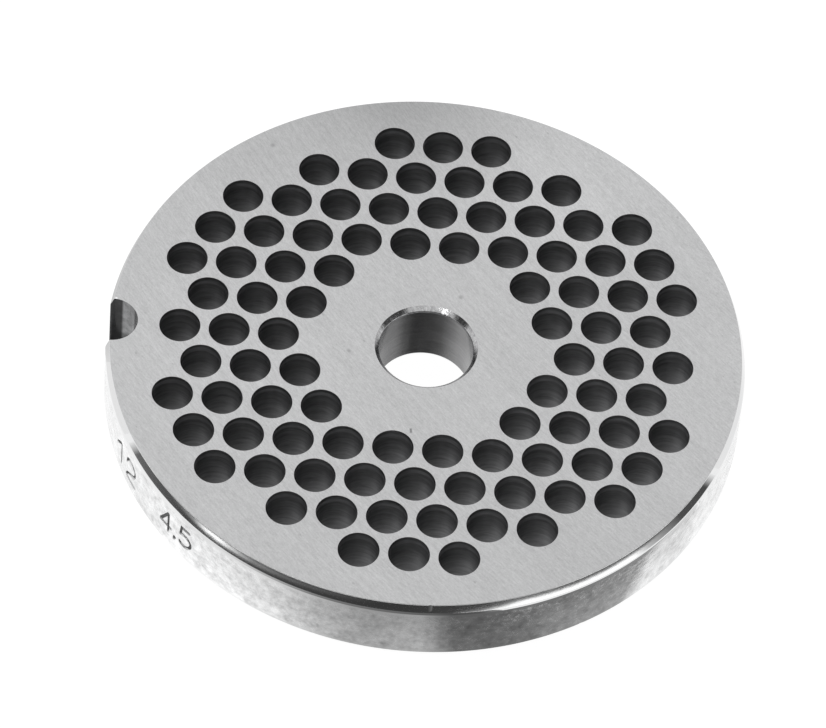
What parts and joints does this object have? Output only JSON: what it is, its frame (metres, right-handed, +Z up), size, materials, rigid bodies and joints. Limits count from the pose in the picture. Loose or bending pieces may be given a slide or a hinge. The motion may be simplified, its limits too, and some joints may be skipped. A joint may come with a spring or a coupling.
{
  "type": "meat grinder plate",
  "caption": "Round ground-steel cutting plate for a hand or electric meat grinder, with a hexagonal field of straight holes, a centre bore and a locating notch in the rim.",
  "frame": {"origin": "centre of the ring face that the plate rests on, on the axis of the centre bore", "axes": "+Z up along the centre bore, from the ring face to the knife face; the locating notch is at -X and the rows of holes run along X"},
  "size_m": [0.0698, 0.07, 0.0084],
  "materials": {
    "ground_steel": "both faces surface ground to a fine satin with straight grinding lines, rim and edge breaks turned and polished, holes as drilled"
  },
  "bodies": {
    "root": {"grinder_plate": "ground_steel"}
  },
  "joints": []
}
